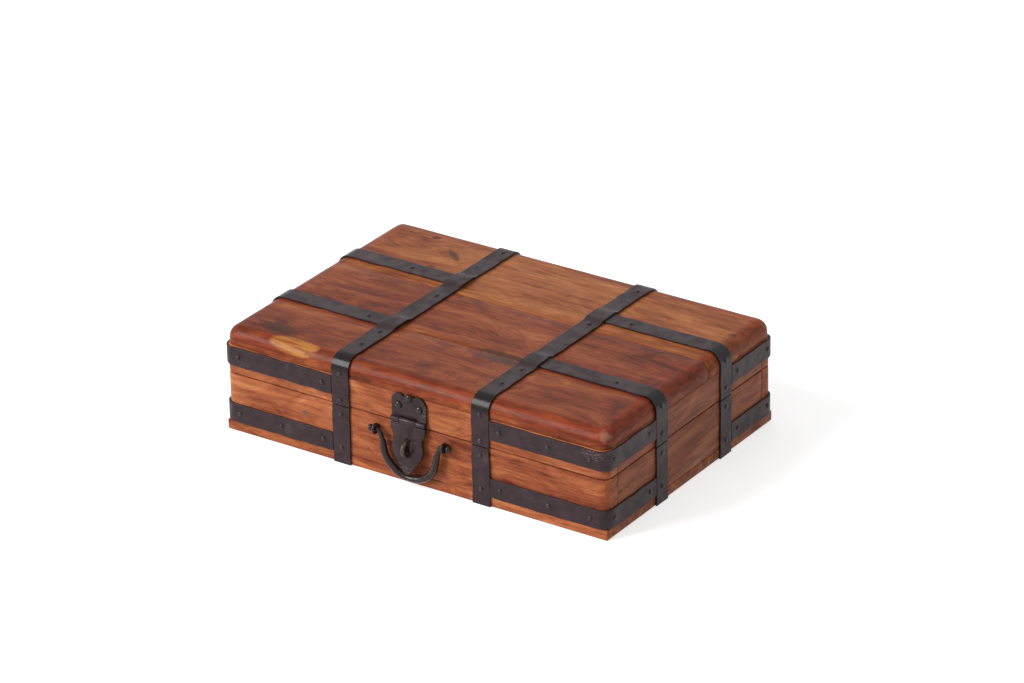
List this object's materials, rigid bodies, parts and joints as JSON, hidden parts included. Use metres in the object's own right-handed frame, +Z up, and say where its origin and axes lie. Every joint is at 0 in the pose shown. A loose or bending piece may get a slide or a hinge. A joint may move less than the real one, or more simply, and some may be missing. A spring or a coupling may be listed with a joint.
{
  "type": "ditty box",
  "caption": "Low rectangular wooden box with a hinged lid, bound with black iron straps, with a front hasp, staple and drop handle.",
  "frame": {"origin": "centre of the underside", "axes": "+X along the length towards the right end, -Y towards the front with the hasp, +Z up"},
  "size_m": [0.3618, 0.2594, 0.0932],
  "materials": {
    "base_wood": "oiled orange-brown hardwood, satin",
    "lid_wood": "oiled orange-brown hardwood, satin",
    "top_wood": "oiled orange-brown hardwood with darker rounded edges, satin",
    "bottom_wood": "oiled orange-brown hardwood, satin",
    "strap_iron": "blackened flat iron, satin",
    "nail_iron": "blackened iron, worn bright on the domes",
    "pin_iron": "blackened iron",
    "hasp_iron": "blackened forged iron, satin",
    "hinge_iron": "blackened iron, satin",
    "handle_iron": "blackened forged iron, hammered"
  },
  "bodies": {
    "base": {"base_front_board": "base_wood", "base_back_board": "base_wood", "base_left_board": "base_wood", "base_right_board": "base_wood", "bottom_board": "bottom_wood", "base_corner_strap_left_front": "strap_iron", "base_corner_strap_left_rear": "strap_iron", "base_corner_strap_right_front": "strap_iron", "base_corner_strap_right_rear": "strap_iron", "base_front_strap_left": "strap_iron", "base_front_strap_right": "strap_iron", "base_back_strap_left": "strap_iron", "base_back_strap_right": "strap_iron", "base_end_strap_left_front": "strap_iron", "base_end_strap_left_rear": "strap_iron", "base_end_strap_right_front": "strap_iron", "base_end_strap_right_rear": "strap_iron", "base_strap_nails": "nail_iron", "base_corner_strap_nails": "nail_iron", "hasp_staple": "hasp_iron", "bail_eye_left": "handle_iron", "bail_eye_right": "handle_iron", "hinge_base_leaf_left": "hinge_iron", "hinge_base_leaf_right": "hinge_iron", "hinge_pin_left": "pin_iron", "hinge_pin_right": "pin_iron", "hinge_base_nails": "nail_iron"},
    "lid": {"lid_front_board": "lid_wood", "lid_back_board": "lid_wood", "lid_left_board": "lid_wood", "lid_right_board": "lid_wood", "lid_top_front_plank": "top_wood", "lid_top_middle_plank": "top_wood", "lid_top_rear_plank": "top_wood", "lid_strap_left": "strap_iron", "lid_strap_right": "strap_iron", "lid_end_strap_left_front": "strap_iron", "lid_end_strap_left_rear": "strap_iron", "lid_end_strap_right_front": "strap_iron", "lid_end_strap_right_rear": "strap_iron", "lid_corner_strap_left_front": "strap_iron", "lid_corner_strap_left_rear": "strap_iron", "lid_corner_strap_right_front": "strap_iron", "lid_corner_strap_right_rear": "strap_iron", "lid_strap_nails": "nail_iron", "lid_end_strap_nails": "nail_iron", "lid_corner_strap_nails": "nail_iron", "hasp_plate": "hasp_iron", "hasp_pin": "pin_iron", "hasp_nails": "nail_iron", "hinge_lid_leaf_left": "hinge_iron", "hinge_lid_leaf_right": "hinge_iron", "hinge_lid_nails": "nail_iron"},
    "hasp_leaf": {"hasp_leaf": "hasp_iron"},
    "handle": {"bail_handle": "handle_iron"}
  },
  "joints": [
    {"name": "lid_hinge", "type": "hinge", "parent": "base", "child": "lid", "pos_m": [0, 0.1233, 0.0503], "axis": [-1, 0, 0], "range_deg": [0, 175]},
    {"name": "hasp_hinge", "type": "hinge", "parent": "lid", "child": "hasp_leaf", "pos_m": [-0.001, -0.1227, 0.0542], "axis": [-1, 0, 0], "range_deg": [0, 150]},
    {"name": "handle_swing", "type": "hinge", "parent": "base", "child": "handle", "pos_m": [0.0012, -0.125, 0.0415], "axis": [-1, 0, 0], "range_deg": [0, 150]}
  ]
}
